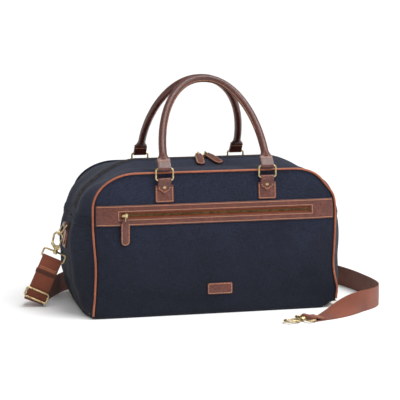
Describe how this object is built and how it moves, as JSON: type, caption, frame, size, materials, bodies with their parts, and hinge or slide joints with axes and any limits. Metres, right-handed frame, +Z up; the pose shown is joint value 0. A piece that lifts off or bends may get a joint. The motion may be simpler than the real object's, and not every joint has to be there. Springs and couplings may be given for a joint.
{
  "type": "weekender bag",
  "caption": "Soft canvas weekender holdall with leather trim, rolled top handles, front zip pocket and a webbing shoulder strap unclipped at one end.",
  "frame": {"origin": "centre of the base on the floor", "axes": "+X along the bag's length, -Y out of the front pocket, +Z up"},
  "size_m": [0.6609, 0.4019, 0.4297],
  "materials": {
    "canvas": "navy cotton canvas, fine plain weave, dry and slightly washed",
    "leather": "brown pull-up leather, satin, lighter along the edges",
    "piping": "tan leather piping, satin",
    "brass": "antique brass, brushed and lightly worn",
    "bronze_teeth": "dark bronze zip chain",
    "webbing": "rust-brown cotton webbing, ribbed weave",
    "dark_webbing": "dark brown webbing binding",
    "rust_tape": "rust-brown zip tape",
    "dark_tape": "navy zip tape",
    "lining": "cotton twill lining",
    "board": "stiff base board",
    "thread": "tan waxed sewing thread",
    "cord_core": "cotton rope core"
  },
  "bodies": {
    "bag": {"front_panel": "canvas", "back_panel": "canvas", "top_front_strip": "canvas", "top_back_strip": "canvas", "left_end_panel": "canvas", "right_end_panel": "canvas", "base_panel": "canvas", "base_board": "board", "lining": "lining", "front_piping": "piping", "back_piping": "piping", "pocket_facing": "leather", "pocket_tape": "rust_tape", "pocket_teeth": "bronze_teeth", "pocket_bag": "lining", "main_tape": "dark_tape", "main_teeth": "bronze_teeth", "label_patch": "leather", "front_left_tab": "leather", "front_right_tab": "leather", "back_left_tab": "leather", "back_right_tab": "leather", "tab_rivets": "brass", "left_end_tab": "leather", "right_end_tab": "leather", "end_tab_rivets": "brass", "strap_leg": "webbing", "strap_band": "dark_webbing", "strap_webbing": "webbing", "strap_fold": "webbing"},
    "front_left_ring": {"front_left_ring": "brass"},
    "front_right_ring": {"front_right_ring": "brass"},
    "front_handle": {"front_handle": "leather", "front_handle_core": "cord_core"},
    "back_left_ring": {"back_left_ring": "brass"},
    "back_right_ring": {"back_right_ring": "brass"},
    "back_handle": {"back_handle": "leather", "back_handle_core": "cord_core"},
    "pocket_slider": {"pocket_slider": "brass"},
    "pocket_pull": {"pocket_link": "brass", "pocket_pull": "leather"},
    "main_slider_left": {"main_slider_left": "brass"},
    "main_pull_left": {"main_link_left": "brass", "main_pull_left": "leather"},
    "left_d_ring": {"left_d_ring": "brass"},
    "main_slider_right": {"main_slider_right": "brass"},
    "main_pull_right": {"main_link_right": "brass", "main_pull_right": "leather"},
    "right_d_ring": {"right_d_ring": "brass"},
    "left_loop": {"left_loop": "brass"},
    "left_hook": {"left_hook": "brass", "left_gate_pin": "brass"},
    "left_gate": {"left_gate": "brass"},
    "free_loop": {"free_loop": "brass"},
    "free_hook": {"free_hook": "brass", "free_gate_pin": "brass"},
    "free_gate": {"free_gate": "brass"},
    "strap_adjuster": {"strap_adjuster": "brass"}
  },
  "joints": [
    {"name": "front_left_ring_swing", "type": "hinge", "parent": "bag", "child": "front_left_ring", "pos_m": [-0.096, -0.1174, 0.249], "axis": [1, 0, 0], "range_deg": [0, 55]},
    {"name": "front_right_ring_swing", "type": "hinge", "parent": "bag", "child": "front_right_ring", "pos_m": [0.096, -0.1174, 0.249], "axis": [1, 0, 0], "range_deg": [0, 55]},
    {"name": "front_handle_swing", "type": "hinge", "parent": "front_left_ring", "child": "front_handle", "pos_m": [-0.096, -0.1174, 0.2694], "axis": [1, 0, 0], "range_deg": [0, 150]},
    {"name": "back_left_ring_swing", "type": "hinge", "parent": "bag", "child": "back_left_ring", "pos_m": [-0.096, 0.1174, 0.249], "axis": [-1, 0, 0], "range_deg": [0, 55]},
    {"name": "back_right_ring_swing", "type": "hinge", "parent": "bag", "child": "back_right_ring", "pos_m": [0.096, 0.1174, 0.249], "axis": [-1, 0, 0], "range_deg": [0, 55]},
    {"name": "back_handle_swing", "type": "hinge", "parent": "back_left_ring", "child": "back_handle", "pos_m": [-0.096, 0.1174, 0.2694], "axis": [-1, 0, 0], "range_deg": [0, 150]},
    {"name": "pocket_slider_travel", "type": "slide", "parent": "bag", "child": "pocket_slider", "axis": [1, 0, 0], "range_m": [0, 0.336]},
    {"name": "pocket_pull_swing", "type": "hinge", "parent": "pocket_slider", "child": "pocket_pull", "pos_m": [-0.17, -0.12794, 0.187], "axis": [-1, 0, 0], "range_deg": [0, 140]},
    {"name": "main_slider_left_travel", "type": "slide", "parent": "bag", "child": "main_slider_left", "axis": [-1, 0, 0], "range_m": [0, 0.085]},
    {"name": "main_slider_right_travel", "type": "slide", "parent": "bag", "child": "main_slider_right", "axis": [1, 0, 0], "range_m": [0, 0.085]},
    {"name": "main_pull_left_swing", "type": "hinge", "parent": "main_slider_left", "child": "main_pull_left", "pos_m": [-0.007, 0, 0.2817], "axis": [-1, 0, 0], "range_deg": [0, 120]},
    {"name": "main_pull_right_swing", "type": "hinge", "parent": "main_slider_right", "child": "main_pull_right", "pos_m": [0.007, 0, 0.2817], "axis": [-1, 0, 0], "range_deg": [0, 120]},
    {"name": "left_d_ring_swing", "type": "hinge", "parent": "bag", "child": "left_d_ring", "pos_m": [-0.25981, 0, 0.155], "axis": [0, 1, 0], "range_deg": [-2, 2]},
    {"name": "right_d_ring_swing", "type": "hinge", "parent": "bag", "child": "right_d_ring", "pos_m": [0.25981, 0, 0.155], "axis": [0, -1, 0], "range_deg": [0, 120]},
    {"name": "left_loop_swing", "type": "hinge", "parent": "bag", "child": "left_loop", "pos_m": [-0.28581, 0.00015, 0.09001], "axis": [0.8991, -0.1699, -0.4035], "range_deg": [-2, 2]},
    {"name": "left_hook_swivel", "type": "hinge", "parent": "left_loop", "child": "left_hook", "pos_m": [-0.2797, -0.001, 0.1041], "axis": [0.1875, -0.0354, 0.9816], "range_deg": [-6, 6]},
    {"name": "left_gate_swing", "type": "hinge", "parent": "left_hook", "child": "left_gate", "pos_m": [-0.27368, -0.00214, 0.11259], "axis": [-0.1857, -0.9826, 0], "range_deg": [0, 28], "stiffness_Nm_per_rad": 0.02, "springref_deg": -17.19},
    {"name": "free_loop_swing", "type": "hinge", "parent": "bag", "child": "free_loop", "pos_m": [0.148, -0.2155, 0.0046], "axis": [-0.342, 0.9397, 0], "range_deg": [0, 100]},
    {"name": "free_hook_swivel", "type": "hinge", "parent": "free_loop", "child": "free_hook", "pos_m": [0.13353, -0.22077, 0.0046], "axis": [-0.9397, -0.342, 0], "continuous": true},
    {"name": "free_gate_swing", "type": "hinge", "parent": "free_hook", "child": "free_gate", "pos_m": [0.1231, -0.21988, 0.0046], "axis": [0, 0, 1], "range_deg": [0, 28], "stiffness_Nm_per_rad": 0.02, "springref_deg": -17.19},
    {"name": "strap_adjuster_travel", "type": "slide", "parent": "bag", "child": "strap_adjuster", "axis": [0.3965, -0.0749, 0.915], "range_m": [0, 0.018]}
  ],
  "couplings": [
    {"joint": "front_right_ring_swing", "follows": "front_left_ring_swing", "ratio": 1},
    {"joint": "back_right_ring_swing", "follows": "back_left_ring_swing", "ratio": 1}
  ]
}
